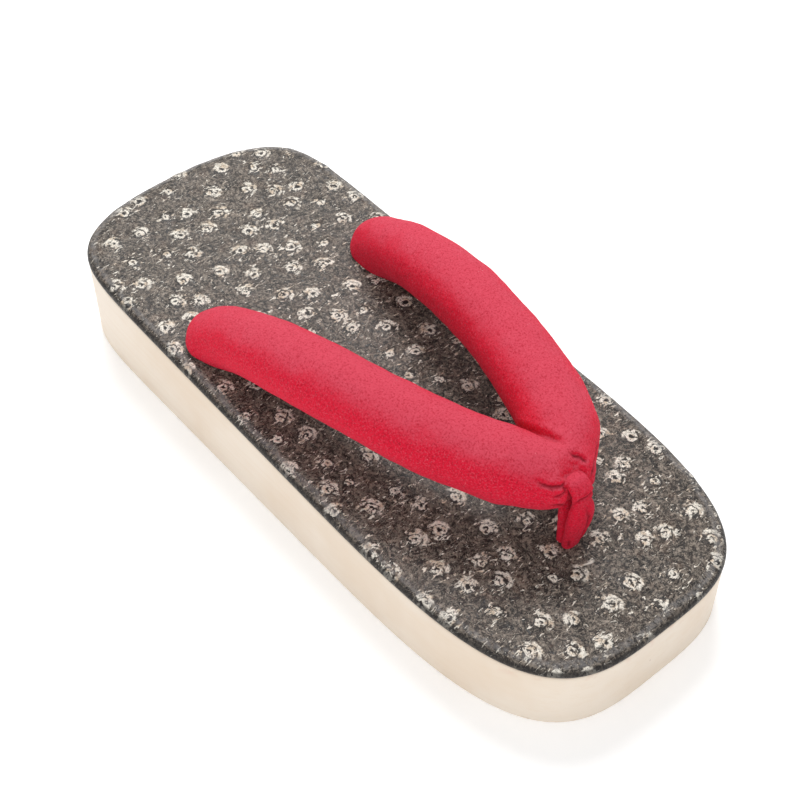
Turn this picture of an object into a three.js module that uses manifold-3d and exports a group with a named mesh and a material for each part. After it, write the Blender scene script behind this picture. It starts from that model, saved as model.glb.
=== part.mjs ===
// Geta sandal, one of a pair. Millimetres.
// +X runs to the toe, +Z is up, Y = 0 is the middle of the sole and Z = 0 is the floor.

import * as THREE from 'three';
import { mergeVertices } from 'three/addons/utils/BufferGeometryUtils.js';
import Module from 'manifold-3d';

const wasm = await Module();
wasm.setup();

// Sole: a wedge with vertical walls and a flat underside.
const soleLength = 250;
const soleWidth = 102;
const toeFlare = 0.018;
const toeRounding = { along: 4.4, across: 3.5 };
const heelRounding = { along: 12, across: 2.3 };
const heelHeight = 36.4;
const toeHeight = 26.5;
const seatDish = 0.9;
const floorBevel = 0.8;
const outlinePoints = 88;
const fineOutlinePoints = 4000;
const faceShrinks = [0.8, 0.5, 0.2];

// Cover: a padded sheet laid over the block, with a rolled edge.
const coverThickness = 3;
const rollWidth = 4.5;
const edgeHeight = 0.6;
const underInset = 0.2;
const rollSteps = 4;
const gap = 0.3;

// Holes: the straps and the toe loop pass down through these and are knotted below.
const holeRadius = 5;
const knotRecessRadius = 8.4;
const knotRecessDepth = 7.6;
const knotRadius = 7.4;
const knotHeight = 5.4;
const knotCentre = 4.1;
const stemRise = { heel: 3, toe: 0.8 };
const cutReach = 10;
const toeHole = { x: 85.6, y: 0 };
const heelHole = { x: -48.4, y: 35.5 };
const holes = [toeHole, heelHole, { x: heelHole.x, y: -heelHole.y }];

// Straps: centre line of the far strap, from its hole up over the foot to the join at the toe.
const strapLine = [
  { x: -47.4, y: 35.4, z: 34.4 },
  { x: -33.6, y: 32.6, z: 46.4 },
  { x: 8.6, y: 33.4, z: 60.8 },
  { x: 57.4, y: 20.9, z: 49.5 },
  { x: 78.2, y: 3, z: 53.4 },
];
const strapRadius = [
  { at: 0, radius: 9.7 },
  { at: 0.33, radius: 11.4 },
  { at: 0.67, radius: 11.8 },
  { at: 0.88, radius: 11.8 },
  { at: 1, radius: 8.9 },
];
const holeDome = 0.65;
const joinDome = 0.9;
const strapSteps = 30;
const strapSides = 20;
const capSteps = 4;

// Neck: the pinched middle of the straps that the toe loop is drawn round.
const neck = { x: 83.6, z: 52, halfDepth: 3, halfHeight: 5, halfLength: 6.6 };

// Toe loop: a narrow padded band, from the hole up behind the neck, over it and down in front.
const loopLine = [
  { x: 83.6, z: 22, halfWidth: 3.1, halfThickness: 2 },
  { x: 83.5, z: 30, halfWidth: 3.3, halfThickness: 2.1 },
  { x: 83.2, z: 37, halfWidth: 3.7, halfThickness: 2.2 },
  { x: 81.6, z: 45, halfWidth: 3.8, halfThickness: 2 },
  { x: 79.6, z: 51, halfWidth: 3.7, halfThickness: 1.9 },
  { x: 79.8, z: 56.8, halfWidth: 3.8, halfThickness: 1.8 },
  { x: 82.6, z: 59.8, halfWidth: 4, halfThickness: 1.8 },
  { x: 86.2, z: 59.2, halfWidth: 4.1, halfThickness: 1.8 },
  { x: 88.6, z: 55.6, halfWidth: 4, halfThickness: 1.9 },
  { x: 88.9, z: 51, halfWidth: 3.8, halfThickness: 1.9 },
  { x: 88.3, z: 46, halfWidth: 4.2, halfThickness: 2.1 },
  { x: 87.9, z: 39, halfWidth: 4.8, halfThickness: 2.3 },
  { x: 87.8, z: 31, halfWidth: 3.9, halfThickness: 2 },
  { x: 87.6, z: 22, halfWidth: 3.2, halfThickness: 1.9 },
];
const loopSteps = 40;
const loopSides = 14;

const cylinderSides = 32;
const weldDistance = 1e-5;
const knotSteps = { around: 20, down: 10 };
const neckSteps = { around: 20, down: 12 };

// Height of the top of the cover at a station along the sole.
function footbedHeight(x) {
  const along = x / soleLength + 0.5;
  const dish = seatDish * ((2 * x / soleLength) ** 2 - 1 / 3);
  return heelHeight + (toeHeight - heelHeight) * along + dish;
}

// One point of the plan outline: rounder at the heel, squarer at the toe.
function outlinePoint(angle) {
  const c = Math.cos(angle);
  const s = Math.sin(angle);
  const rounding = c >= 0 ? toeRounding : heelRounding;
  const along = Math.sign(c) * Math.abs(c) ** (2 / rounding.along);
  const across = Math.sign(s) * Math.abs(s) ** (2 / rounding.across);
  return new THREE.Vector2(
    along * soleLength / 2,
    across * soleWidth / 2 * (1 + toeFlare * along),
  );
}

// The outline as evenly spaced points, counterclockwise seen from above.
function evenOutline(count) {
  const dense = [];
  for (let i = 0; i <= fineOutlinePoints; i += 1) {
    dense.push(outlinePoint(2 * Math.PI * i / fineOutlinePoints));
  }
  const travelled = [0];
  for (let i = 1; i <= fineOutlinePoints; i += 1) {
    travelled.push(travelled[i - 1] + dense[i].distanceTo(dense[i - 1]));
  }
  const points = [];
  let at = 0;
  for (let k = 0; k < count; k += 1) {
    const target = travelled[fineOutlinePoints] * k / count;
    while (travelled[at + 1] < target) {
      at += 1;
    }
    const part = (target - travelled[at]) / (travelled[at + 1] - travelled[at]);
    points.push(dense[at].clone().lerp(dense[at + 1], part));
  }
  return points;
}

// Closed body from rings of equal length, with a fan at each end.
function ringBody(rings) {
  const sides = rings[0].length;
  const positions = [];
  const faces = [];
  for (const ring of rings) {
    for (const point of ring) {
      positions.push(point.x, point.y, point.z);
    }
  }
  for (let i = 0; i + 1 < rings.length; i += 1) {
    for (let j = 0; j < sides; j += 1) {
      const next = (j + 1) % sides;
      const a = i * sides + j;
      const b = i * sides + next;
      const c = (i + 1) * sides + next;
      const d = (i + 1) * sides + j;
      faces.push(a, b, c, a, c, d);
    }
  }
  const ends = [{ ring: 0, flip: true }, { ring: rings.length - 1, flip: false }];
  for (const end of ends) {
    const middle = new THREE.Vector3();
    rings[end.ring].forEach((point) => middle.add(point));
    middle.divideScalar(sides);
    const centre = positions.length / 3;
    positions.push(middle.x, middle.y, middle.z);
    for (let j = 0; j < sides; j += 1) {
      const a = end.ring * sides + j;
      const b = end.ring * sides + (j + 1) % sides;
      faces.push(...(end.flip ? [centre, b, a] : [centre, a, b]));
    }
  }
  const geometry = new THREE.BufferGeometry();
  geometry.setAttribute('position', new THREE.Float32BufferAttribute(positions, 3));
  geometry.setIndex(faces);
  return geometry;
}

// Closed body that follows the sole's outline. Each row gives an inset and a height.
function soleBody(rows) {
  const outline = evenOutline(outlinePoints);
  const rings = rows.map((row) => outline.map((point) => {
    const shrink = row.shrink ?? 1;
    const x = point.x * (1 - 2 * row.inset / soleLength) * shrink;
    const y = point.y * (1 - 2 * row.inset / soleWidth) * shrink;
    return new THREE.Vector3(x, y, row.height(x));
  }));
  return ringBody(rings);
}

function toSolid(geometry) {
  const bare = geometry.clone();
  bare.deleteAttribute('normal');
  bare.deleteAttribute('uv');
  const welded = mergeVertices(bare, weldDistance);
  return new wasm.Manifold(new wasm.Mesh({
    numProp: 3,
    vertProperties: new Float32Array(welded.attributes.position.array),
    triVerts: new Uint32Array(welded.index.array),
  }));
}

function toGeometry(solid) {
  const mesh = solid.getMesh();
  const geometry = new THREE.BufferGeometry();
  const positions = new Float32Array(mesh.vertProperties);
  geometry.setAttribute('position', new THREE.BufferAttribute(positions, 3));
  geometry.setIndex(new THREE.BufferAttribute(new Uint32Array(mesh.triVerts), 1));
  const loose = geometry.toNonIndexed();
  loose.computeVertexNormals();
  return loose;
}

function upright(radius, low, high, at) {
  const geometry = new THREE.CylinderGeometry(radius, radius, high - low, cylinderSides);
  geometry.rotateX(Math.PI / 2);
  geometry.translate(at.x, at.y, (low + high) / 2);
  return toSolid(geometry);
}

// Stem that runs down a hole, with the knot at its foot.
function knottedStem(at, top) {
  const knot = new THREE.SphereGeometry(knotRadius, knotSteps.around, knotSteps.down);
  knot.scale(1, 1, knotHeight / (2 * knotRadius));
  knot.translate(at.x, at.y, knotCentre);
  return upright(holeRadius - gap, knotCentre, top, at).add(toSolid(knot));
}

function cutHoles(solid) {
  let cut = solid;
  for (const hole of holes) {
    cut = cut.subtract(upright(holeRadius, -cutReach, heelHeight + cutReach, hole));
    cut = cut.subtract(upright(knotRecessRadius, -cutReach, knotRecessDepth, hole));
  }
  return cut;
}

// Rows shared by a flat or curved end face, from its rim to its middle.
function faceRows(height) {
  return faceShrinks.map((shrink) => ({ inset: 0, shrink, height }));
}

function makeSoleBlock() {
  const floor = () => 0;
  const top = (x) => footbedHeight(x) - coverThickness - gap;
  return cutHoles(toSolid(soleBody([
    ...faceRows(floor).reverse(),
    { inset: floorBevel, height: floor },
    { inset: 0, height: () => floorBevel },
    { inset: 0, height: top },
    ...faceRows(top),
  ])));
}

// Everything below a level just above the cover, which the straps are flattened against.
function belowFoot() {
  const top = (x) => footbedHeight(x) + gap;
  const under = () => -cutReach;
  return toSolid(soleBody([
    ...faceRows(under).reverse(),
    { inset: 0, height: under },
    { inset: 0, height: top },
    ...faceRows(top),
  ]));
}

function makeCover() {
  const under = (x) => footbedHeight(x) - coverThickness;
  const roll = [];
  for (let i = 0; i <= rollSteps; i += 1) {
    const turn = Math.PI / 2 * i / rollSteps;
    const inset = rollWidth * (1 - Math.cos(turn));
    const drop = (coverThickness - edgeHeight) * (1 - Math.sin(turn));
    roll.push({ inset, height: (x) => footbedHeight(x) - drop });
  }
  return toSolid(soleBody([
    ...faceRows(under).reverse(),
    { inset: underInset, height: under },
    ...roll,
    ...faceRows(footbedHeight),
  ]));
}

// Point of a Bezier curve through any number of control points.
function bezierPoint(controls, t) {
  let level = controls.map((c) => new THREE.Vector3(c.x, c.y, c.z));
  while (level.length > 1) {
    level = level.slice(1).map((point, i) => level[i].clone().lerp(point, t));
  }
  return level[0];
}

function radiusAt(t) {
  const k = strapRadius.findIndex((row) => row.at >= t);
  const high = strapRadius[Math.max(k, 1)];
  const low = strapRadius[Math.max(k, 1) - 1];
  return THREE.MathUtils.lerp(low.radius, high.radius, (t - low.at) / (high.at - low.at));
}

// Ring of a tube that runs along `ahead`, level with the floor across.
function tubeRing(centre, ahead, radius) {
  const across = new THREE.Vector3(0, 0, 1).cross(ahead).normalize();
  const over = ahead.clone().cross(across);
  const ring = [];
  for (let j = 0; j < strapSides; j += 1) {
    const angle = 2 * Math.PI * j / strapSides;
    ring.push(centre.clone()
      .addScaledVector(across, radius * Math.cos(angle))
      .addScaledVector(over, radius * Math.sin(angle)));
  }
  return ring;
}

// Round padded tube with a domed end at the hole and at the join.
function strapTube(side) {
  const rings = [];
  const place = (t) => bezierPoint(strapLine, t).multiply(new THREE.Vector3(1, side, 1));
  const heading = (t) => place(Math.min(t + 0.01, 1)).sub(place(Math.max(t - 0.01, 0))).normalize();
  const dome = (t, length, k) => {
    const turn = Math.PI / 2 * k / capSteps;
    const centre = place(t).addScaledVector(heading(t), length * radiusAt(t) * Math.sin(turn));
    return tubeRing(centre, heading(t), radiusAt(t) * Math.cos(turn));
  };
  for (let k = capSteps - 1; k > 0; k -= 1) {
    rings.push(dome(0, -holeDome, k));
  }
  for (let i = 0; i <= strapSteps; i += 1) {
    const t = i / strapSteps;
    rings.push(tubeRing(place(t), heading(t), radiusAt(t)));
  }
  for (let k = 1; k < capSteps; k += 1) {
    rings.push(dome(1, joinDome, k));
  }
  return toSolid(ringBody(rings));
}

// Oval band along the loop's line; `swell` makes it thicker all round.
function loopBand(swell) {
  const path = new THREE.CatmullRomCurve3(
    loopLine.map((row) => new THREE.Vector3(row.x, 0, row.z)),
    false,
    'centripetal',
  );
  const section = (t) => {
    const at = t * (loopLine.length - 1);
    const low = loopLine[Math.min(Math.floor(at), loopLine.length - 2)];
    const high = loopLine[Math.min(Math.floor(at) + 1, loopLine.length - 1)];
    const part = at - loopLine.indexOf(low);
    return {
      halfWidth: THREE.MathUtils.lerp(low.halfWidth, high.halfWidth, part) + swell,
      halfThickness: THREE.MathUtils.lerp(low.halfThickness, high.halfThickness, part) + swell,
    };
  };
  const rings = [];
  for (let i = 0; i <= loopSteps; i += 1) {
    const t = i / loopSteps;
    const centre = path.getPoint(t);
    const ahead = path.getTangent(t);
    const outward = new THREE.Vector3(-ahead.z, 0, ahead.x);
    const { halfWidth, halfThickness } = section(t);
    const ring = [];
    for (let j = 0; j < loopSides; j += 1) {
      const angle = -2 * Math.PI * j / loopSides;
      const point = centre.clone().addScaledVector(outward, halfThickness * Math.cos(angle));
      point.y = halfWidth * Math.sin(angle);
      ring.push(point);
    }
    rings.push(ring);
  }
  return toSolid(ringBody(rings));
}

function makeStrap() {
  const core = new THREE.SphereGeometry(1, neckSteps.around, neckSteps.down);
  core.scale(neck.halfDepth, neck.halfLength, neck.halfHeight);
  core.translate(neck.x, 0, neck.z);
  let strap = strapTube(1)
    .add(strapTube(-1))
    .add(toSolid(core))
    .subtract(belowFoot())
    .subtract(loopBand(gap));
  for (const side of [1, -1]) {
    const hole = { x: heelHole.x, y: side * heelHole.y };
    strap = strap.add(knottedStem(hole, footbedHeight(hole.x) + stemRise.heel));
  }
  return strap;
}

function makeToeLoop() {
  return loopBand(0).add(knottedStem(toeHole, footbedHeight(toeHole.x) + stemRise.toe));
}

const pieces = [
  { name: 'sole_block', solid: makeSoleBlock(), color: 0xe9d9c3, roughness: 0.6 },
  { name: 'footbed_cover', solid: cutHoles(makeCover()), color: 0x3a322e, roughness: 0.5 },
  { name: 'strap', solid: makeStrap(), color: 0xc8233f, roughness: 0.95 },
  { name: 'toe_loop', solid: makeToeLoop(), color: 0xb81c38, roughness: 0.95 },
];

const geta = new THREE.Group();
geta.name = 'geta_sandal';
for (const piece of pieces) {
  const material = new THREE.MeshStandardMaterial({
    name: piece.name,
    color: piece.color,
    roughness: piece.roughness,
  });
  const mesh = new THREE.Mesh(toGeometry(piece.solid), material);
  mesh.name = piece.name;
  geta.add(mesh);
}

export default geta;
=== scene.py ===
import math

import bpy
import numpy as np
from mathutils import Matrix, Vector, noise


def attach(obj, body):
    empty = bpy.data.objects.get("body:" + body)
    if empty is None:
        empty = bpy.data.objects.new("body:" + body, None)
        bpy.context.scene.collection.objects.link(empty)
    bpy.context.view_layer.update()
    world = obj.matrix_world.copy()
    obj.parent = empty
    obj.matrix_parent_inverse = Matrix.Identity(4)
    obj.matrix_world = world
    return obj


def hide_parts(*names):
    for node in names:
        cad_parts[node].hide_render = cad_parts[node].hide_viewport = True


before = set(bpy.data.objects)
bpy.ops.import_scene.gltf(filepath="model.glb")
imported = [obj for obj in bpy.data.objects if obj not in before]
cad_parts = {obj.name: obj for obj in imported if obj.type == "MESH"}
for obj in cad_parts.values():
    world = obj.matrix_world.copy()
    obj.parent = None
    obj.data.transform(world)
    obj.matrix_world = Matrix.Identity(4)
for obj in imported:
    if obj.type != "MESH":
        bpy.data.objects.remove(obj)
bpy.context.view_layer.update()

mm = 0.001  # sizes below are in millimetres, the scene is in metres
blockSize = 4000  # points compared at a time

# Sole plan and wedge, as the maker drew them
soleShape = {
    "length": 250.0, "width": 102.0, "toeFlare": 0.018,
    "toeAlong": 4.4, "toeAcross": 3.5, "heelAlong": 12.0, "heelAcross": 2.3,
    "heelHeight": 36.4, "toeHeight": 26.5, "seatDish": 0.9,
    "coverThickness": 3.0, "seamGap": 0.25,
    "outlinePoints": 640,
}
holePlaces = {"toe": (85.6, 0.0), "heelFar": (-48.4, 35.5), "heelNear": (-48.4, -35.5)}


def footbedHeight(x):
    # top of the cover at a station along the sole
    along = x / soleShape["length"] + 0.5
    dish = soleShape["seatDish"] * ((2 * x / soleShape["length"]) ** 2 - 1 / 3)
    return soleShape["heelHeight"] + (soleShape["toeHeight"] - soleShape["heelHeight"]) * along + dish


def soleOutline(count):
    # evenly spaced points round the plan, counterclockwise seen from above
    angle = np.linspace(0, 2 * math.pi, 8001)
    c, s = np.cos(angle), np.sin(angle)
    along = np.where(c >= 0, soleShape["toeAlong"], soleShape["heelAlong"])
    across = np.where(c >= 0, soleShape["toeAcross"], soleShape["heelAcross"])
    x = np.sign(c) * np.abs(c) ** (2 / along)
    y = np.sign(s) * np.abs(s) ** (2 / across) * (1 + soleShape["toeFlare"] * x)
    points = np.stack([x * soleShape["length"] / 2, y * soleShape["width"] / 2], axis=1)
    steps = np.linalg.norm(np.diff(points, axis=0), axis=1)
    travelled = np.concatenate([[0], np.cumsum(steps)])
    target = np.linspace(0, travelled[-1], count, endpoint=False)
    return np.stack([np.interp(target, travelled, points[:, k]) for k in (0, 1)], axis=1)


def smoothStep(value, low, high):
    t = np.clip((value - low) / (high - low), 0, 1)
    return t * t * (3 - 2 * t)


def unevenness(points, scale, seed=0.0):
    # soft noise in -1..1 at each point, for hand-made irregularity
    return np.array([noise.noise(Vector((p[0] * scale + seed, p[1] * scale, p[2] * scale))) for p in points])


def ringMesh(name, rings):
    # closed body from rings of equal length, a fan at each end; sizes in mm
    count, sides = len(rings), len(rings[0])
    points = [np.concatenate(rings)]
    faces = []
    j = np.arange(sides)
    k = (j + 1) % sides
    for i in range(count - 1):
        a, b = i * sides, (i + 1) * sides
        faces += np.stack([a + j, a + k, b + k, b + j], axis=1).tolist()
    points.append(rings[0].mean(axis=0)[None])
    points.append(rings[-1].mean(axis=0)[None])
    first, last = count * sides, count * sides + 1
    faces += [(first, int(b), int(a)) for a, b in zip(j, k)]
    end = (count - 1) * sides
    faces += [(last, int(end + a), int(end + b)) for a, b in zip(j, k)]
    mesh = bpy.data.meshes.new(name)
    mesh.from_pydata((np.concatenate(points) * mm).tolist(), [], faces)
    mesh.validate()
    mesh.polygons.foreach_set("use_smooth", [True] * len(mesh.polygons))
    return mesh


def addPiece(name, mesh, materials=()):
    piece = bpy.data.objects.new(name, mesh)
    bpy.context.scene.collection.objects.link(piece)
    for material in materials:
        mesh.materials.append(material)
    return piece


def meshPoints(mesh):
    points = np.empty(len(mesh.vertices) * 3)
    mesh.vertices.foreach_get("co", points)
    return points.reshape(-1, 3) / mm


def meshNormals(mesh):
    normals = np.empty(len(mesh.vertices) * 3)
    mesh.vertices.foreach_get("normal", normals)
    return normals.reshape(-1, 3)


def setMeshPoints(mesh, points):
    mesh.vertices.foreach_set("co", (points * mm).ravel())
    mesh.update()


def withModifiers(piece):
    # the piece's shape with its modifiers settled into the mesh
    graph = bpy.context.evaluated_depsgraph_get()
    settled = bpy.data.meshes.new_from_object(piece.evaluated_get(graph))
    piece.modifiers.clear()
    old = piece.data
    piece.data = settled
    bpy.data.meshes.remove(old)
    settled.polygons.foreach_set("use_smooth", [True] * len(settled.polygons))


# Shader wiring

def tint(red, green, blue):
    # 0-255 screen colour to the shader's own
    def one(value):
        value /= 255
        return value / 12.92 if value <= 0.04045 else ((value + 0.055) / 1.055) ** 2.4
    return (one(red), one(green), one(blue), 1.0)


def addNode(tree, kind, **settings):
    node = tree.nodes.new(kind)
    for key, value in settings.items():
        setattr(node, key, value)
    return node


def feed(tree, socket, value):
    if isinstance(value, bpy.types.NodeSocket):
        tree.links.new(value, socket)
    elif value is not None:
        socket.default_value = value


def calc(tree, operation, *values):
    node = addNode(tree, "ShaderNodeMath", operation=operation)
    for socket, value in zip(node.inputs, values):
        feed(tree, socket, value)
    return node.outputs[0]


def vectorCalc(tree, operation, *values, scale=None):
    node = addNode(tree, "ShaderNodeVectorMath", operation=operation)
    for socket, value in zip(node.inputs, values):
        feed(tree, socket, value)
    if scale is not None:
        feed(tree, node.inputs["Scale"], scale)
    return node.outputs["Value" if operation in ("LENGTH", "DOT_PRODUCT", "DISTANCE") else "Vector"]


def ramp(tree, value, low, high, outLow=0.0, outHigh=1.0):
    node = addNode(tree, "ShaderNodeMapRange", interpolation_type="SMOOTHSTEP")
    for socket, item in zip(node.inputs, (value, low, high, outLow, outHigh)):
        feed(tree, socket, item)
    return node.outputs[0]


def blendColor(tree, factor, first, second):
    node = addNode(tree, "ShaderNodeMix", data_type="RGBA")
    feed(tree, node.inputs[0], factor)
    feed(tree, node.inputs[6], first)
    feed(tree, node.inputs[7], second)
    return node.outputs[2]


def noiseAt(tree, vector, scale, detail=2.0, roughness=0.5, distortion=0.0, color=False):
    node = addNode(tree, "ShaderNodeTexNoise")
    feed(tree, node.inputs["Vector"], vector)
    feed(tree, node.inputs["Scale"], scale)
    feed(tree, node.inputs["Detail"], detail)
    feed(tree, node.inputs["Roughness"], roughness)
    feed(tree, node.inputs["Distortion"], distortion)
    return node.outputs["Color" if color else 0]


def newGroup(name, inputs, outputs):
    group = bpy.data.node_groups.new(name, "ShaderNodeTree")
    for label, kind, value in inputs:
        socket = group.interface.new_socket(label, in_out="INPUT", socket_type="NodeSocket" + kind)
        if value is not None:
            socket.default_value = value
    for label, kind in outputs:
        group.interface.new_socket(label, in_out="OUTPUT", socket_type="NodeSocket" + kind)
    return group, group.nodes.new("NodeGroupInput").outputs, group.nodes.new("NodeGroupOutput").inputs


def useGroup(tree, group, **values):
    node = addNode(tree, "ShaderNodeGroup", node_tree=group)
    for label, value in values.items():
        feed(tree, node.inputs[label], value)
    return node.outputs


def newMaterial(name):
    material = bpy.data.materials.new(name)
    material.use_nodes = True
    tree = material.node_tree
    shader = tree.nodes["Principled BSDF"]
    place = addNode(tree, "ShaderNodeTexCoord").outputs["Object"]
    sized = vectorCalc(tree, "SCALE", place, scale=1000.0)  # mm
    return material, tree, shader, sized


def addBump(tree, shader, height, depth, strength=1.0):
    bump = addNode(tree, "ShaderNodeBump")
    feed(tree, bump.inputs["Height"], height)
    bump.inputs["Distance"].default_value = depth * mm
    bump.inputs["Strength"].default_value = strength
    tree.links.new(bump.outputs[0], shader.inputs["Normal"])


# Camera, floor and lights

cameraSetup = {"place": (263.5, -217.3, 389.5), "aim": (4.0, 2.0, 20.0), "lens": 68.0, "sensor": 36.0}


def setCamera():
    data = bpy.data.cameras.new("camera")
    data.lens = cameraSetup["lens"]
    data.sensor_width = cameraSetup["sensor"]
    data.clip_start = 0.01
    camera = bpy.data.objects.new("camera", data)
    bpy.context.scene.collection.objects.link(camera)
    camera.location = Vector(cameraSetup["place"]) * mm
    away = (Vector(cameraSetup["aim"]) * mm - camera.location).normalized()
    camera.rotation_euler = away.to_track_quat("-Z", "Y").to_euler()
    bpy.context.scene.camera = camera


studio = {
    "floorSize": 6.0, "floorGlow": 0.22, "floorTone": tint(250, 250, 250),
    "worldTone": (1.0, 1.0, 1.0), "worldPower": 0.6,
    "lamps": [
        # name, place in m, aim in m, size in m, power in W
        ("mainLamp", (-0.7, 0.5, 1.25), (0.0, 0.0, 0.02), 0.8, 16.6),
        ("fillLamp", (0.7, -0.9, 0.8), (0.0, 0.0, 0.02), 1.3, 4.6),
    ],
}


def setStudio():
    side = studio["floorSize"] / 2
    mesh = bpy.data.meshes.new("floor")
    corners = [(-side, -side, 0), (side, -side, 0), (side, side, 0), (-side, side, 0)]
    mesh.from_pydata(corners, [], [(0, 1, 2, 3)])
    material, tree, shader, sized = newMaterial("studioPaper")
    paper = noiseAt(tree, sized, 0.02, 2.0)
    tone = blendColor(tree, paper, studio["floorTone"], tint(246, 246, 247))
    tree.links.new(tone, shader.inputs["Base Color"])
    shader.inputs["Roughness"].default_value = 0.9
    shader.inputs["Emission Color"].default_value = (1.0, 1.0, 1.0, 1.0)
    shader.inputs["Emission Strength"].default_value = studio["floorGlow"]
    floor = addPiece("floor", mesh, [material])
    world = bpy.data.worlds.new("studio")
    bpy.context.scene.world = world
    world.use_nodes = True
    background = world.node_tree.nodes["Background"]
    background.inputs["Color"].default_value = (*studio["worldTone"], 1.0)
    background.inputs["Strength"].default_value = studio["worldPower"]
    for name, place, aim, size, power in studio["lamps"]:
        data = bpy.data.lights.new(name, "AREA")
        data.shape = "DISK"
        data.size = size
        data.energy = power
        lamp = bpy.data.objects.new(name, data)
        bpy.context.scene.collection.objects.link(lamp)
        lamp.location = place
        lamp.rotation_euler = (Vector(aim) - lamp.location).to_track_quat("-Z", "Y").to_euler()
    bpy.context.scene.view_settings.view_transform = "Standard"


setCamera()
setStudio()
print("camera, floor and lights are set")

# Effects shared by several finishes

dustGroup, into, out = newGroup("paleDust", [
    ("Vector", "Vector", None), ("Spacing", "Float", 0.25), ("Size", "Float", 0.08), ("Amount", "Float", 0.5),
], [("Mask", "Float")])
cells = addNode(dustGroup, "ShaderNodeTexVoronoi")
feed(dustGroup, cells.inputs["Vector"], into["Vector"])
feed(dustGroup, cells.inputs["Scale"], into["Spacing"])
speck = ramp(dustGroup, cells.outputs["Distance"], into["Size"], 0.0)
patchy = noiseAt(dustGroup, into["Vector"], 0.09, 2.0)
seldom = calc(dustGroup, "LESS_THAN", patchy, into["Amount"])
feed(dustGroup, out["Mask"], calc(dustGroup, "MULTIPLY", speck, seldom))

mottleGroup, into, out = newGroup("softMottle", [
    ("Vector", "Vector", None), ("Scale", "Float", 0.05), ("Low", "Float", 0.35), ("High", "Float", 0.65),
], [("Mask", "Float")])
cloud = noiseAt(mottleGroup, into["Vector"], into["Scale"], 3.0, 0.55)
feed(mottleGroup, out["Mask"], ramp(mottleGroup, cloud, into["Low"], into["High"]))

# Sole block: pale smooth wood, flat underside with three knot recesses

soleBlock = {
    "floorBevel": 0.9, "sideRows": 14, "unevenSide": 0.12,
    "recessRadius": 8.4, "recessDepth": 7.6,
    "tone": tint(230, 217, 201), "toneDeep": tint(224, 207, 187), "grainTone": tint(224, 204, 180),
    "stainTone": tint(214, 176, 156), "roughness": 0.52,
}


def soleRing(outline, inset, shrink, height):
    scale = np.array([1 - 2 * inset / soleShape["length"], 1 - 2 * inset / soleShape["width"]]) * shrink
    flat = outline * scale
    return np.column_stack([flat, height(flat[:, 0])])


def soleBlockMesh():
    outline = soleOutline(soleShape["outlinePoints"])
    top = lambda x: footbedHeight(x) - soleShape["coverThickness"] - soleShape["seamGap"]
    floor = lambda x: np.zeros_like(x)
    bevel = soleBlock["floorBevel"]
    rings = [soleRing(outline, bevel, s, floor) for s in (0.1, 0.35, 0.6, 0.8, 0.92, 0.98)]
    for k in range(5):
        turn = math.pi / 2 * k / 4
        rings.append(soleRing(outline, bevel * (1 - math.sin(turn)), 1,
                              lambda x: bevel * (1 - math.cos(turn)) + 0 * x))
    rows = soleBlock["sideRows"]
    for k in range(1, rows):
        part = k / rows
        rings.append(soleRing(outline, 0, 1, lambda x: bevel + (top(x) - 0.5 - bevel) * part))
    for inset, drop in ((0, 0.5), (0.15, 0.15), (0.5, 0)):
        rings.append(soleRing(outline, inset, 1, lambda x: top(x) - drop))
    for s in (0.97, 0.85, 0.6, 0.3, 0.1):
        rings.append(soleRing(outline, 0.5, s, top))
    return ringMesh("soleBlock", rings)


def soleBlockMaterial():
    material, tree, shader, sized = newMaterial("paleSole")
    stretched = vectorCalc(tree, "MULTIPLY", sized, (0.02, 0.25, 0.5))
    grain = noiseAt(tree, stretched, 1.0, 5.0, 0.6, 0.6)
    grainMask = ramp(tree, grain, 0.5, 0.72)
    tone = blendColor(tree, useGroup(tree, mottleGroup, Vector=sized, Scale=0.03)["Mask"],
                      soleBlock["tone"], soleBlock["toneDeep"])
    tone = blendColor(tree, calc(tree, "MULTIPLY", grainMask, 0.22), tone, soleBlock["grainTone"])
    parts = addNode(tree, "ShaderNodeSeparateXYZ")
    feed(tree, parts.inputs[0], sized)
    x, z = parts.outputs[0], parts.outputs[2]
    # faint pinkish stain that the dyed cover left just under its edge at the toe
    underCover = ramp(tree, z, 19.0, 24.0)
    toeOnly = ramp(tree, x, 70.0, 112.0)
    blotch = ramp(tree, noiseAt(tree, sized, 0.16, 4.0, 0.6), 0.5, 0.7)
    stain = calc(tree, "MULTIPLY", calc(tree, "MULTIPLY", underCover, toeOnly), blotch)
    tone = blendColor(tree, calc(tree, "MULTIPLY", stain, 0.55), tone, soleBlock["stainTone"])
    # scuffs along the floor edge, which run on over the underside, and a few handling marks
    lowDown = ramp(tree, z, 2.2, 0.0)
    scuff = calc(tree, "MULTIPLY", lowDown, ramp(tree, noiseAt(tree, sized, 0.5, 4.0), 0.48, 0.62))
    tone = blendColor(tree, calc(tree, "MULTIPLY", scuff, 0.5), tone, tint(190, 172, 148))
    specks = useGroup(tree, dustGroup, Vector=sized, Spacing=0.09, Size=0.045, Amount=0.46)["Mask"]
    tone = blendColor(tree, calc(tree, "MULTIPLY", specks, 0.6), tone, tint(150, 120, 100))
    tree.links.new(tone, shader.inputs["Base Color"])
    rough = ramp(tree, grain, 0.3, 0.8, soleBlock["roughness"] - 0.06, soleBlock["roughness"] + 0.1)
    tree.links.new(rough, shader.inputs["Roughness"])
    fineGrain = calc(tree, "MULTIPLY", noiseAt(tree, sized, 1.2, 3.0), 0.25)
    addBump(tree, shader, calc(tree, "ADD", grain, fineGrain), 0.12, 0.5)
    return material


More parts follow.
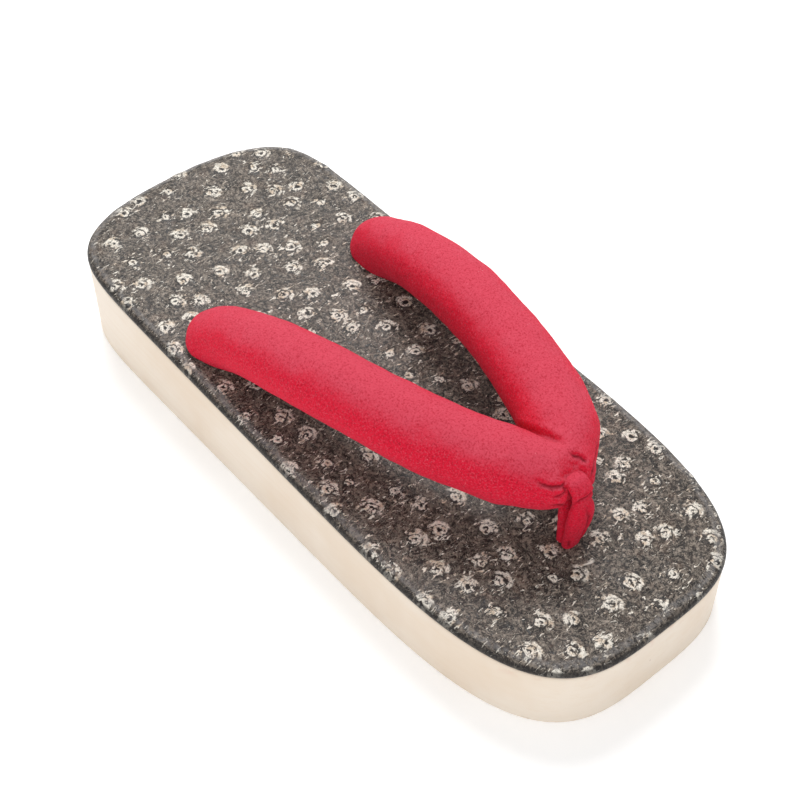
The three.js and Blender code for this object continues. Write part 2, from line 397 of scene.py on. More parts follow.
def cutRecesses(piece):
    cutters = []
    for k, (x, y) in enumerate(holePlaces.values()):
        angle = np.linspace(0, 2 * math.pi, 64, endpoint=False)
        circle = np.stack([np.cos(angle), np.sin(angle)], axis=1)
        profile = [(soleBlock["recessRadius"] + 1.2, -1.0), (soleBlock["recessRadius"] + 0.6, 0.0),
                   (soleBlock["recessRadius"], 0.8), (soleBlock["recessRadius"], soleBlock["recessDepth"]),
                   (5.0, soleBlock["recessDepth"] + 0.05), (5.0, 18.0)]
        rings = [np.column_stack([circle * r + (x, y), np.full(64, z)]) for r, z in profile]
        cutter = addPiece("recessCutter" + str(k), ringMesh("recessCutter", rings))
        cut = piece.modifiers.new("recess" + str(k), "BOOLEAN")
        cut.operation = "DIFFERENCE"
        cut.solver = "EXACT"
        cut.object = cutter
        cutters.append(cutter)
    withModifiers(piece)
    for cutter in cutters:
        bpy.data.objects.remove(cutter)


sole = addPiece("soleBlock", soleBlockMesh())
cutRecesses(sole)
points = meshPoints(sole.data)
normals = meshNormals(sole.data)
onWall = (np.abs(normals[:, 2]) < 0.5) & (points[:, 2] > 2)
push = unevenness(points, 0.035) * soleBlock["unevenSide"] * onWall
setMeshPoints(sole.data, points + normals * push[:, None])
sole.data.materials.clear()
sole.data.materials.append(soleBlockMaterial())
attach(sole, "root")
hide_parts("sole_block")
print("sole block is built")

# Footbed cover: padded printed leather, rolled down over the block's edge

cover = {
    "rollWidth": 4.6, "rollDrop": 2.7, "proud": 0.1, "rollRows": 14, "topRings": 92,
    "quillSpacing": 12.6, "quillJitter": 3.0, "quillRise": 0.3, "quillSpread": 2.6, "seed": 11,
    "darkTone": tint(16, 12, 11), "midTone": tint(50, 42, 37),
    "brownTone": tint(82, 58, 43), "hairTone": tint(196, 182, 166),
    # tones for the painted shade on the roll's underside and the painted highlight on its shoulder
    "paintedShadeRimTone": tint(22, 18, 18), "paintedHighlightTone": tint(140, 138, 138),
    # the pit tone darkens each ring's centre and its painted shadow halo
    "printTone": tint(250, 243, 230), "printWarm": tint(222, 203, 180), "pitAndShadowTone": tint(20, 17, 17),
    "roughness": 0.36, "scratchFrom": (94.8, -5.6), "scratchTo": (96.2, 0.5),
}


def quillCentres():
    # staggered rows of quill marks, each pushed a little off its place
    rng = np.random.default_rng(cover["seed"])
    spacing = cover["quillSpacing"]
    centres = []
    for row, y in enumerate(np.arange(-58, 59, spacing * 0.82)):
        for x in np.arange(-134 + (row % 2) * spacing / 2, 135, spacing):
            jitter = rng.uniform(-1, 1, 2) * cover["quillJitter"]
            centres.append((x + jitter[0], y + jitter[1], rng.uniform(0, 1)))
    return np.array(centres)


quills = quillCentres()


def nearestQuill(flat):
    # index of the nearest quill and the offset from it, in the plane of the footbed
    nearest = np.empty(len(flat), dtype=int)
    for start in range(0, len(flat), blockSize):
        block = flat[start:start + blockSize]
        gaps = ((block[:, None, :] - quills[None, :, :2]) ** 2).sum(axis=2)
        nearest[start:start + blockSize] = gaps.argmin(axis=1)
    return nearest, flat - quills[nearest, :2]


def coverMesh():
    outline = soleOutline(soleShape["outlinePoints"])
    top = footbedHeight
    under = lambda x: top(x) - soleShape["coverThickness"]
    rings = [soleRing(outline, 2.0, s, under) for s in (0.2, 0.5, 0.8, 0.97, 1.0)]
    rings.append(soleRing(outline, 0.3, 1, under))
    for k in range(cover["rollRows"] + 1):
        turn = math.pi / 2 * k / cover["rollRows"]
        inset = cover["rollWidth"] * (1 - math.cos(turn)) - cover["proud"] * math.cos(turn) ** 2
        drop = cover["rollDrop"] * (1 - math.sin(turn) ** 0.9)
        rings.append(soleRing(outline, inset, 1, lambda x: top(x) - drop))
    for k in range(1, cover["topRings"]):
        rings.append(soleRing(outline, cover["rollWidth"], 1 - k / cover["topRings"], top))
    return ringMesh("footbedCover", rings)


def shapeCover(mesh):
    points = meshPoints(mesh)
    normals = meshNormals(mesh)
    _, offset = nearestQuill(points[:, :2])
    away = np.linalg.norm(offset, axis=1)
    rise = cover["quillRise"] * np.exp(-(away / cover["quillSpread"]) ** 2)
    upper = smoothStep(normals[:, 2], 0.2, 0.8)
    rise += 0.22 * unevenness(points, 0.05) + 0.1 * unevenness(points, 0.22, 7.0)
    # the padding sinks a little round each strap hole
    for x, y in holePlaces.values():
        rise -= 0.5 * np.exp(-(((points[:, 0] - x) ** 2 + (points[:, 1] - y) ** 2) / 60.0))
    setMeshPoints(mesh, points + normals * (rise * upper)[:, None])


def markQuills(mesh):
    # each face keeps its offset from one quill, so the printed rings stay crisp between points
    count = len(mesh.polygons)
    middle = np.empty(count * 3)
    mesh.polygons.foreach_get("center", middle)
    nearest, _ = nearestQuill(middle.reshape(-1, 3)[:, :2] / mm)
    sizes = np.empty(count, dtype=int)
    mesh.polygons.foreach_get("loop_total", sizes)
    owner = np.repeat(nearest, sizes)
    corner = np.empty(len(mesh.loops), dtype=int)
    mesh.loops.foreach_get("vertex_index", corner)
    points = meshPoints(mesh)[corner]
    place = np.column_stack([points[:, :2] - quills[owner, :2], quills[owner, 2]])
    layer = mesh.attributes.new("quillPlace", "FLOAT_VECTOR", "CORNER")
    layer.data.foreach_set("vector", place.ravel())


quillGroup, into, out = newGroup("quillPrint", [
    ("Vector", "Vector", None), ("Place", "Vector", None),
], [("Print", "Float"), ("PitAndShadow", "Float"), ("Swirl", "Float"), ("Height", "Float")])


def buildQuillGroup(tree, into, out):
    sized = into["Vector"]
    parts = addNode(tree, "ShaderNodeSeparateXYZ")
    feed(tree, parts.inputs[0], into["Place"])
    seed = parts.outputs[2]
    flat = vectorCalc(tree, "MULTIPLY", into["Place"], (1.0, 1.0, 0.0))
    wander = vectorCalc(tree, "SUBTRACT", noiseAt(tree, sized, 0.5, 3.0, 0.6, color=True), (0.5, 0.5, 0.5))
    wander = vectorCalc(tree, "MULTIPLY", wander, (2.6, 2.6, 0.0))
    local = vectorCalc(tree, "ADD", flat, wander)
    turn = addNode(tree, "ShaderNodeVectorRotate", rotation_type="Z_AXIS")
    feed(tree, turn.inputs["Vector"], local)
    feed(tree, turn.inputs["Angle"], calc(tree, "MULTIPLY_ADD", seed, 2.2, -1.1))
    local = turn.outputs[0]
    far = vectorCalc(tree, "LENGTH", local)
    vary = calc(tree, "FRACT", calc(tree, "MULTIPLY", seed, 7.3))
    size = calc(tree, "MULTIPLY_ADD", vary, 0.65, 0.85)
    offRing = calc(tree, "ABSOLUTE", calc(tree, "SUBTRACT", far, size))
    ring = ramp(tree, offRing, 0.76, 0.34)
    broken = ramp(tree, noiseAt(tree, sized, 0.9, 2.0), 0.36, 0.46)
    ring = calc(tree, "MULTIPLY", ring, broken)
    bead = ramp(tree, vectorCalc(tree, "DISTANCE", local, (0.35, -0.3, 0.0)), 0.5, 0.25)
    bead = calc(tree, "MULTIPLY", bead, calc(tree, "GREATER_THAN", seed, 0.45))
    # eyebrow arc on the heel side of the ring
    toward = vectorCalc(tree, "DOT_PRODUCT", vectorCalc(tree, "NORMALIZE", local), (-0.6, 0.8, 0.0))
    offArc = calc(tree, "ABSOLUTE", calc(tree, "SUBTRACT", far, calc(tree, "MULTIPLY_ADD", seed, 0.7, 2.5)))
    arc = calc(tree, "MULTIPLY", ramp(tree, offArc, 0.95, 0.42), ramp(tree, toward, 0.0, 0.45))
    arc = calc(tree, "MULTIPLY", arc, ramp(tree, noiseAt(tree, sized, 0.7, 3.0), 0.4, 0.5))
    arc = calc(tree, "MULTIPLY", arc, calc(tree, "GREATER_THAN", vary, 0.18))
    # short flecks, close round each mark and thinly everywhere
    streaks = vectorCalc(tree, "MULTIPLY", sized, (1.0, 0.42, 0.6))
    fleckNoise = noiseAt(tree, streaks, 0.95, 2.5, 0.6, 0.9)
    nearMark = ramp(tree, far, 5.4, 2.4)
    needed = calc(tree, "MULTIPLY_ADD", nearMark, -0.06, 0.632)
    fleck = ramp(tree, calc(tree, "SUBTRACT", fleckNoise, needed), 0.0, 0.035)
    outside = ramp(tree, far, 1.0, 1.7)
    fleck = calc(tree, "MULTIPLY", fleck, outside)
    printed = calc(tree, "MAXIMUM", calc(tree, "MAXIMUM", ring, bead), calc(tree, "MAXIMUM", arc, fleck))
    worn = ramp(tree, noiseAt(tree, sized, 1.8, 3.0, 0.7), 0.34, 0.5, 0.3, 1.0)
    printed = calc(tree, "MULTIPLY", printed, worn)
    # dark centre of each ring, and a painted shadow: a dark halo just outside the ring
    pit = ramp(tree, far, size, calc(tree, "MULTIPLY", size, 0.35))
    offHalo = calc(tree, "ABSOLUTE", calc(tree, "SUBTRACT", far, calc(tree, "ADD", size, 0.9)))
    shadow = calc(tree, "MULTIPLY", ramp(tree, offHalo, 0.7, 0.2), 0.75)
    # strokes of short hair that circle each quill
    heading = vectorCalc(tree, "SCALE", vectorCalc(tree, "NORMALIZE", local), scale=1.3)
    climb = addNode(tree, "ShaderNodeCombineXYZ")
    feed(tree, climb.inputs[2], calc(tree, "MULTIPLY_ADD", far, 0.62, calc(tree, "MULTIPLY", seed, 40.0)))
    circling = noiseAt(tree, vectorCalc(tree, "ADD", heading, climb.outputs[0]), 1.0, 3.0, 0.62, 0.5)
    swirl = ramp(tree, calc(tree, "ABSOLUTE", calc(tree, "SUBTRACT", circling, 0.5)), 0.07, 0.02)
    swirl = calc(tree, "MULTIPLY", swirl, ramp(tree, far, 1.5, 2.6))
    patchy = ramp(tree, noiseAt(tree, sized, 0.8, 3.0, 0.7), 0.4, 0.55)
    feed(tree, out["Swirl"], calc(tree, "MULTIPLY", swirl, patchy))
    feed(tree, out["Print"], printed)
    feed(tree, out["PitAndShadow"], calc(tree, "MAXIMUM", pit, shadow))
    high = calc(tree, "SUBTRACT", calc(tree, "MULTIPLY", printed, 0.5), calc(tree, "MULTIPLY", pit, 0.7))
    feed(tree, out["Height"], calc(tree, "ADD", high, ramp(tree, far, 4.2, 0.8, 0.0, 0.8)))


buildQuillGroup(quillGroup, into, out)


def coverMaterial():
    material, tree, shader, sized = newMaterial("quillLeather")
    place = addNode(tree, "ShaderNodeAttribute", attribute_name="quillPlace").outputs["Vector"]
    quill = useGroup(tree, quillGroup, Vector=sized, Place=place)
    # fine hair-like strokes that swirl over the whole skin
    swirl = vectorCalc(tree, "SUBTRACT", noiseAt(tree, sized, 0.13, 2.0, color=True), (0.5, 0.5, 0.5))
    swirled = vectorCalc(tree, "ADD", sized, vectorCalc(tree, "SCALE", swirl, scale=7.0))
    lines = noiseAt(tree, vectorCalc(tree, "MULTIPLY", swirled, (1.5, 0.5, 0.8)), 0.42, 3.0, 0.6, 1.4)
    ridge = calc(tree, "ABSOLUTE", calc(tree, "SUBTRACT", lines, 0.5))
    hair = ramp(tree, ridge, 0.05, 0.012)
    across = noiseAt(tree, vectorCalc(tree, "MULTIPLY", swirled, (0.55, 1.7, 0.8)), 0.5, 3.0, 0.6, 1.2)
    fineHair = ramp(tree, calc(tree, "ABSOLUTE", calc(tree, "SUBTRACT", across, 0.52)), 0.04, 0.0)
    hair = calc(tree, "MAXIMUM", hair, calc(tree, "MULTIPLY", fineHair, 0.8))
    hair = calc(tree, "MULTIPLY", hair, ramp(tree, noiseAt(tree, sized, 0.6, 3.0, 0.7), 0.4, 0.58, 0.1, 1.0))
    hair = calc(tree, "MAXIMUM", hair, quill["Swirl"])
    patch = useGroup(tree, mottleGroup, Vector=swirled, Scale=0.16, Low=0.4, High=0.62)["Mask"]
    tone = blendColor(tree, patch, cover["darkTone"], cover["midTone"])
    # the scratch scraped across the print at the toe
    scrape = vectorCalc(tree, "SUBTRACT", sized, (*cover["scratchFrom"], 0.0))
    scrape = vectorCalc(tree, "ADD", scrape, vectorCalc(tree, "SCALE", swirl, scale=5.0))
    run = np.array(cover["scratchTo"]) - cover["scratchFrom"]
    reach = float(np.linalg.norm(run))
    ahead = (float(run[0] / reach), float(run[1] / reach), 0.0)
    aside = (-ahead[1], ahead[0], 0.0)
    far = calc(tree, "ABSOLUTE", vectorCalc(tree, "DOT_PRODUCT", scrape, aside))
    passed = vectorCalc(tree, "DOT_PRODUCT", scrape, ahead)
    scraped = calc(tree, "MULTIPLY", ramp(tree, far, 0.5, 0.2), calc(tree, "MULTIPLY",
                   ramp(tree, passed, 0.0, 1.5), ramp(tree, passed, reach, reach - 1.5)))
    russet = useGroup(tree, mottleGroup, Vector=sized, Scale=0.2, Low=0.52, High=0.72)["Mask"]
    tone = blendColor(tree, calc(tree, "MULTIPLY", russet, 0.5), tone, cover["brownTone"])
    tone = blendColor(tree, calc(tree, "MULTIPLY", hair, 0.5), tone, cover["hairTone"])
    grit = ramp(tree, noiseAt(tree, swirled, 1.1, 3.0, 0.7), 0.4, 0.64)
    tone = blendColor(tree, calc(tree, "MULTIPLY", grit, 0.4), tone, tint(24, 19, 18))
    # dark ring centres, and the painted shadow halos round them
    tone = blendColor(tree, calc(tree, "MULTIPLY", quill["PitAndShadow"], 0.85), tone, cover["pitAndShadowTone"])
    warm = noiseAt(tree, sized, 0.4, 2.0)
    ink = blendColor(tree, ramp(tree, warm, 0.45, 0.7), cover["printTone"], cover["printWarm"])
    printed = calc(tree, "MAXIMUM", quill["Print"], calc(tree, "MULTIPLY", scraped, 0.8))
    tone = blendColor(tree, calc(tree, "MULTIPLY", printed, 0.96), tone, ink)
    dust = useGroup(tree, dustGroup, Vector=sized, Spacing=0.55, Size=0.12, Amount=0.5)["Mask"]
    tone = blendColor(tree, calc(tree, "MULTIPLY", dust, 0.5), tone, tint(190, 182, 172))
    # painted highlight: a greyish band on the rolled edge's shoulder, and painted shade: a dark rim on the
    # roll's underside below it
    facing = addNode(tree, "ShaderNodeSeparateXYZ")
    feed(tree, facing.inputs[0], addNode(tree, "ShaderNodeNewGeometry").outputs["Normal"])
    level = facing.outputs[2]
    paintedShoulderHighlight = calc(tree, "MULTIPLY", ramp(tree, level, 0.86, 0.95), ramp(tree, level, 0.9998, 0.97))
    paintedShoulderHighlight = calc(tree, "MULTIPLY", paintedShoulderHighlight, ramp(tree, noiseAt(tree, sized, 0.7, 3.0, 0.7), 0.3, 0.6))
    tone = blendColor(tree, calc(tree, "MULTIPLY", paintedShoulderHighlight, 0.5), tone, cover["paintedHighlightTone"])
    paintedRimShade = ramp(tree, level, 0.93, 0.7)
    tone = blendColor(tree, calc(tree, "MULTIPLY", paintedRimShade, 0.8), tone, cover["paintedShadeRimTone"])
    tree.links.new(tone, shader.inputs["Base Color"])
    rough = calc(tree, "MULTIPLY_ADD", grit, 0.16, cover["roughness"] - 0.05)
    rough = calc(tree, "MULTIPLY_ADD", quill["Print"], 0.15, rough)
    tree.links.new(rough, shader.inputs["Roughness"])
    shader.inputs["Specular IOR Level"].default_value = 0.26
    shader.inputs["Coat Weight"].default_value = 0.1
    shader.inputs["Coat Roughness"].default_value = 0.28
    grain = calc(tree, "MULTIPLY_ADD", hair, 0.3, calc(tree, "MULTIPLY", grit, 0.35))
    addBump(tree, shader, calc(tree, "ADD", quill["Height"], grain), 0.42, 0.8)
    return material


footbed = addPiece("footbedCover", coverMesh())
shapeCover(footbed.data)
markQuills(footbed.data)
footbed.data.materials.append(coverMaterial())
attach(footbed, "root")
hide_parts("footbed_cover")
print("footbed cover is built")

# Straps: two padded velour tubes that meet and are gathered at the toe

strap = {
    # middle of the far strap, from its hole up over the foot to the join
    "line": [(-47.4, 35.4, 34.4), (-33.6, 32.6, 46.4), (8.6, 33.4, 60.8), (57.4, 20.9, 49.5),
             (78.2, 3.0, 53.4)],
    "radiusAt": [0.0, 0.33, 0.67, 0.88, 1.0],
    "radius": [9.7, 11.4, 11.8, 11.8, 8.9],
    "holeDome": 0.62, "joinDome": 1.0, "endSquare": 0.85,
    "steps": 90, "sides": 48, "voxel": 1.18,
    "neck": (83.6, 0.0, 52.0), "neckSize": (3.6, 6.6, 5.0),
    "lean": (0.0, -0.8, -1.7), "sway": (0.4, 0.9, 0.0),
    "pinchInner": 2.4, "pinchOuter": 5.0, "pinch": 0.22,
    "gatherDepth": 0.14, "gatherReach": 8.0, "seamDepth": 0.7, "seamWidth": 0.9,
    "restGap": 0.35, "baseBulge": 0.8, "bulgeHeight": 3.6,
    # the light tone is painted light for the cloth that faces up
    "tone": tint(215, 20, 51), "paintedLightTone": tint(200, 82, 100), "toneDeep": tint(162, 8, 32),
    # the crease tone is painted shade in the folds
    "toneFleck": tint(216, 84, 102), "paintedCreaseShadeTone": tint(96, 2, 16),
}


def bezier(controls, t):
    level = [np.array(c, dtype=float)[None] * np.ones((len(t), 1)) for c in controls]
    part = t[:, None]
    while len(level) > 1:
        level = [a * (1 - part) + b * part for a, b in zip(level, level[1:])]
    return level[0]


def strapPath(t):
    return bezier(strap["line"], t)


def strapRadius(t):
    return np.interp(t, strap["radiusAt"], strap["radius"])


def tubeRings(side):
    t = np.linspace(0, 1, strap["steps"])
    centre = strapPath(t)
    heading = np.gradient(centre, axis=0)
    radius = strapRadius(t)
    cap = np.linspace(0, math.pi / 2, 12)[1:-1]
    unit = heading / np.linalg.norm(heading, axis=1)[:, None]
    stations = []
    for a in cap[::-1]:
        back = strap["holeDome"] * radius[0] * math.sin(a)
        stations.append((centre[0] - unit[0] * back, unit[0], radius[0] * math.cos(a) ** strap["endSquare"]))
    stations += list(zip(centre, unit, radius))
    for a in cap:
        front = strap["joinDome"] * radius[-1] * math.sin(a)
        stations.append((centre[-1] + unit[-1] * front, unit[-1], radius[-1] * math.cos(a)))
    angle = np.linspace(0, 2 * math.pi, strap["sides"], endpoint=False)
    rings = []
    for middle, ahead, size in stations:
        across = np.cross((0, 0, 1), ahead)
        across /= np.linalg.norm(across)
        over = np.cross(ahead, across)
        ring = middle + size * (np.cos(angle)[:, None] * across + np.sin(angle)[:, None] * over)
        rings.append(ring * (1, side, 1))
    return rings if side > 0 else [ring[::-1] for ring in rings]


def ballRings(centre, size, steps=20, sides=32):
    angle = np.linspace(0, 2 * math.pi, sides, endpoint=False)
    rings = []
    for turn in np.linspace(-math.pi / 2, math.pi / 2, steps)[1:-1]:
        ring = np.column_stack([np.cos(angle) * math.cos(turn), np.sin(angle) * math.cos(turn),
                                np.full(sides, math.sin(turn))])
        rings.append(ring * size + centre)
    return rings


def joinMeshes(name, meshes):
    points, faces = [], []
    for mesh in meshes:
        start = sum(len(p) for p in points)
        points.append(meshPoints(mesh))
        faces += [[start + v for v in face.vertices] for face in mesh.polygons]
        if not mesh.users:
            bpy.data.meshes.remove(mesh)
    joined = bpy.data.meshes.new(name)
    joined.from_pydata((np.concatenate(points) * mm).tolist(), [], faces)
    joined.polygons.foreach_set("use_smooth", [True] * len(joined.polygons))
    return joined


def stemMesh(x, y, top):
    # cord end that runs down its hole to a plain knot in the recess
    angle = np.linspace(0, 2 * math.pi, 32, endpoint=False)
    circle = np.stack([np.cos(angle), np.sin(angle)], axis=1)
    # radius and height, from the knot's underside up
    profile = [(0.6, 1.4), (4.2, 1.7), (6.6, 2.9), (7.3, 4.2), (6.5, 5.6), (4.9, 6.6), (4.4, 8.5),
               (4.5, 20.0), (4.5, top)]
    return ringMesh("stem", [np.column_stack([circle * r + (x, y), np.full(32, z)]) for r, z in profile])


def alongStrap(points):
    # nearest station on the centre line of the strap on the point's own side
    t = np.linspace(0, 1, 160)
    centre = strapPath(t)
    mirrored = points.copy()
    mirrored[:, 1] = np.abs(points[:, 1])
    station = np.empty(len(points), dtype=int)
    for start in range(0, len(points), blockSize):
        block = mirrored[start:start + blockSize]
        gaps = ((block[:, None] - centre[None]) ** 2).sum(axis=2)
        station[start:start + blockSize] = gaps.argmin(axis=1)
    axis = centre[station]
    axis[:, 1] *= np.where(points[:, 1] < 0, -1, 1)
    return t[station], axis


def onSurface(points, line):
    # a drawn line, divided finely and laid down on the nearest points of the cloth
    line = np.array(line, dtype=float)
    steps = np.linspace(0, len(line) - 1, 6 * (len(line) - 1) + 1)
    fine = np.stack([np.interp(steps, np.arange(len(line)), line[:, k]) for k in range(3)], axis=1)
    laid = np.array([points[((points - spot) ** 2).sum(axis=1).argmin()] for spot in fine])
    laid[1:-1] = (laid[:-2] + laid[1:-1] + laid[2:]) / 3
    return laid


def crease(points, normals, fold):
    # soft trough along a line, with a low ridge on both sides, fading out at its ends
    line = onSurface(points, fold["line"])
    width = fold["width"]
    best = np.full(len(points), 1e9)
    along = np.zeros(len(points))
    lengths = np.maximum(np.linalg.norm(np.diff(line, axis=0), axis=1), 1e-6)
    total, passed = lengths.sum(), 0.0
    for a, b, size in zip(line, line[1:], lengths):
        part = np.clip(((points - a) @ (b - a)) / size ** 2, 0, 1)
        gap = np.linalg.norm(points - (a + part[:, None] * (b - a)), axis=1)
        closer = gap < best
        best = np.where(closer, gap, best)
        along = np.where(closer, (passed + part * size) / total, along)
        passed += size
    fade = np.clip(np.minimum(along / 0.35, (1 - along) / 0.15 + fold.get("endOpen", 0.3)), 0, 1)
    trough = np.exp(-(best / width) ** 2) - 0.3 * np.exp(-((best - 2.1 * width) / width) ** 2)
    # painted shade, strongest along the middle of the trough
    shade = fold.get("shade", 1.0) * fade * np.exp(-(best / (0.75 * width)) ** 2)
    return points - normals * (fold["depth"] * fade * trough)[:, None], shade


def markCreases(mesh, shade):
    # painted shade: how deep in a crease each point lies, which the finish darkens
    layer = mesh.attributes.new("creaseShade", "FLOAT", "POINT")
    values = np.zeros(len(mesh.vertices))
    values[:len(shade)] = shade
    layer.data.foreach_set("value", values)


def leanJoin(points):
    # worn straps are never quite even: they sway to the far side, and the join hangs to the near side
    join = smoothStep(points[:, 0], 73.0, 84.0)
    before = smoothStep(points[:, 0], 40.0, 62.0) * (1 - join)
    return points + np.array(strap["lean"]) * join[:, None] + np.array(strap["sway"]) * before[:, None]


strapCreases = [
    # near strap, gathers that run into the loop
    {"line": [(79.6, -11.4, 58.6), (81.4, -10.3, 57.3), (83.1, -8.7, 56.5), (84.8, -6.3, 56.8),
              (85.9, -4.8, 57.5)],
     "depth": 0.75, "width": 0.6, "endOpen": 1.0},
    {"line": [(84.4, -9.6, 52.8), (85.2, -8.1, 53.7), (86.1, -6.2, 54.4), (86.4, -4.8, 55.6)],
     "depth": 0.65, "width": 0.55, "endOpen": 1.0},
    {"line": [(84.3, -10.3, 50.0), (85.3, -7.2, 49.4), (85.2, -4.2, 48.0)], "depth": 0.4, "width": 0.8},
    # small pinch where both gathers meet the loop
    {"line": [(85.8, -5.6, 57.2), (86.6, -4.8, 56.4)], "depth": 1.1, "width": 0.8, "endOpen": 1.0},
    # closing line where the two straps meet, and the gather that ends it
    {"line": [(57.0, 0.8, 52.5), (58.2, 1.3, 53.6), (65.0, 1.2, 57.2), (70.5, 1.8, 59.4),
              (76.3, 2.2, 61.0)],
     "depth": 0.8, "width": 1.1, "shade": 0.3},
    {"line": [(79.2, 1.4, 61.0), (80.6, 1.8, 60.6), (82.2, 3.4, 60.0), (84.1, 5.0, 58.6)],
     "depth": 0.8, "width": 0.6},
    # matching gathers on the outer and under sides
    {"line": [(74.0, 13.5, 54.0), (80.0, 10.5, 54.0), (86.0, 4.5, 54.0)], "depth": 0.7, "width": 0.8},
    {"line": [(76.0, 11.5, 47.0), (81.0, 8.5, 48.0), (85.5, 3.5, 49.5)], "depth": 0.6, "width": 0.8},
]


def shapeStrap(mesh):
    points = meshPoints(mesh)
    t, axis = alongStrap(points)
    # drawn in where the loop is pulled tight round the join
    neck = np.array(strap["neck"])
    forward = smoothStep(points[:, 0], 79.0, 83.5)
    nearMiddle = 1 - smoothStep(np.abs(points[:, 1]), strap["pinchInner"], strap["pinchOuter"])
    squeeze = strap["pinch"] * nearMiddle * forward
    points[:, 0] += (neck[0] - 1.5 - points[:, 0]) * squeeze
    points[:, 2] += (neck[2] - points[:, 2]) * squeeze
    points = leanJoin(points)
    neck = neck + strap["lean"]
    setMeshPoints(mesh, points)
    normals = meshNormals(mesh)
    # small gathers that fan out from the neck
    spoke = points - neck
    reach = np.linalg.norm(spoke, axis=1)
    turn = np.arctan2(spoke[:, 2], spoke[:, 0] + 6)
    fan = np.sin(turn * 15 + np.sign(points[:, 1]) * 1.3 + unevenness(points, 0.12, 3.0) * 2.5)
    fade = np.exp(-((reach - 5) / strap["gatherReach"]) ** 2)
    points = points + normals * (strap["gatherDepth"] * fan * fade * forward)[:, None]
    shade = np.zeros(len(points))
    for fold in strapCreases:
        points, mark = crease(points, normals, fold)
        shade = np.maximum(shade, mark)
    # filling is never quite even
    lumps = 0.42 * unevenness(points, 0.075, 5.0) + 0.16 * unevenness(points, 0.24, 9.0)
    points = points + normals * lumps[:, None]
    # closed underneath by one long seam
    down = np.array((0, 0, -1.0))
    spoke = points - axis
    under = (spoke @ down) / np.maximum(np.linalg.norm(spoke, axis=1), 1e-6)
    sideways = np.abs(spoke[:, 1])
    seam = np.exp(-(sideways / strap["seamWidth"]) ** 2) * (under > 0.9)
    seam = seam * smoothStep(t, 0.22, 0.3) * (1 - smoothStep(t, 0.88, 0.95))
    points = points - normals * (strap["seamDepth"] * seam)[:, None]
    # pressed flat on the cover, and bulging a little just above it
    rest = footbedHeight(points[:, 0]) + strap["restGap"]
    close = np.exp(-((points[:, 2] - rest) / strap["bulgeHeight"]) ** 2) * (t < 0.3)
    out = spoke * (1, 1, 0)
    out /= np.maximum(np.linalg.norm(out, axis=1), 1e-6)[:, None]
    points = points + out * (strap["baseBulge"] * close)[:, None]
    points[:, 2] = np.maximum(points[:, 2], footbedHeight(points[:, 0]) + strap["restGap"])
    setMeshPoints(mesh, points)
    return shade


def velourMaterial(name, tones):
    material, tree, shader, sized = newMaterial(name)
    pile = noiseAt(tree, sized, 1.5, 3.0, 0.75)
    fine = noiseAt(tree, vectorCalc(tree, "ADD", sized, (31.0, 7.0, 3.0)), 1.9, 2.0, 0.7)
    paintedLightMottle = useGroup(tree, mottleGroup, Vector=sized, Scale=0.1, Low=0.3, High=0.7)["Mask"]
    facing = addNode(tree, "ShaderNodeSeparateXYZ")
    feed(tree, facing.inputs[0], addNode(tree, "ShaderNodeNewGeometry").outputs["Normal"])
    # painted light: faces that look up are mixed toward a paler tone, in soft patches, so the top looks lit
    # and the sides stay darker
    level = calc(tree, "MULTIPLY_ADD", paintedLightMottle, 0.16, facing.outputs[2])
    level = calc(tree, "MULTIPLY_ADD", pile, 0.3, level)
    paintedTopLight = ramp(tree, level, 0.66, 1.2, 0.0, 0.66)
    tone = blendColor(tree, paintedTopLight, tones["tone"], tones["paintedLightTone"])
    tone = blendColor(tree, ramp(tree, pile, 0.52, 0.36, 0.0, 0.62), tone, tones["toneDeep"])
    tone = blendColor(tree, ramp(tree, fine, 0.5, 0.66, 0.0, 0.5), tone, tones["toneFleck"])
    # painted shade darkens the cloth along the creases
    paintedCreaseShade = addNode(tree, "ShaderNodeAttribute", attribute_name="creaseShade").outputs["Fac"]
    tone = blendColor(tree, calc(tree, "MULTIPLY", paintedCreaseShade, 0.72), tone, tones["paintedCreaseShadeTone"])
    lint = useGroup(tree, dustGroup, Vector=sized, Spacing=0.3, Size=0.075, Amount=0.47)["Mask"]
    tone = blendColor(tree, calc(tree, "MULTIPLY", lint, 0.55), tone, tint(245, 150, 160))
    tree.links.new(tone, shader.inputs["Base Color"])
    shader.inputs["Roughness"].default_value = 0.92
    shader.inputs["Specular IOR Level"].default_value = 0.2
    shader.inputs["Sheen Weight"].default_value = 0.12
    shader.inputs["Sheen Roughness"].default_value = 0.45
    shader.inputs["Sheen Tint"].default_value = tint(255, 120, 145)
    addBump(tree, shader, calc(tree, "ADD", pile, calc(tree, "MULTIPLY", fine, 0.5)), 0.4, 0.6)
    return material


def strapMesh():
    parts = [ringMesh("tube", tubeRings(1)), ringMesh("tube", tubeRings(-1))]
    parts.append(ringMesh("neck", ballRings(strap["neck"], strap["neckSize"])))
    tubes = addPiece("strap", joinMeshes("strap", parts))
    remesh = tubes.modifiers.new("weld", "REMESH")
    remesh.mode = "VOXEL"
    remesh.voxel_size = strap["voxel"] * mm
    withModifiers(tubes)
    smooth = tubes.modifiers.new("ease", "SMOOTH")
    smooth.factor = 0.5
    smooth.iterations = 3
    divide = tubes.modifiers.new("finer", "SUBSURF")
    divide.levels = 1
    divide.render_levels = 1
    withModifiers(tubes)
    return tubes


straps = strapMesh()
shade = shapeStrap(straps.data)
stems = [stemMesh(*holePlaces[key], footbedHeight(holePlaces[key][0]) + 2) for key in ("heelFar", "heelNear")]
straps.data = joinMeshes("strap", [straps.data] + stems)
markCreases(straps.data, shade)
straps.data.materials.append(velourMaterial("crimsonVelour", strap))
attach(straps, "root")
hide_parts("strap")
print("straps are built:", len(straps.data.polygons), "faces")

# Toe loop: narrow padded band, doubled, drawn round the join and down through the toe hole

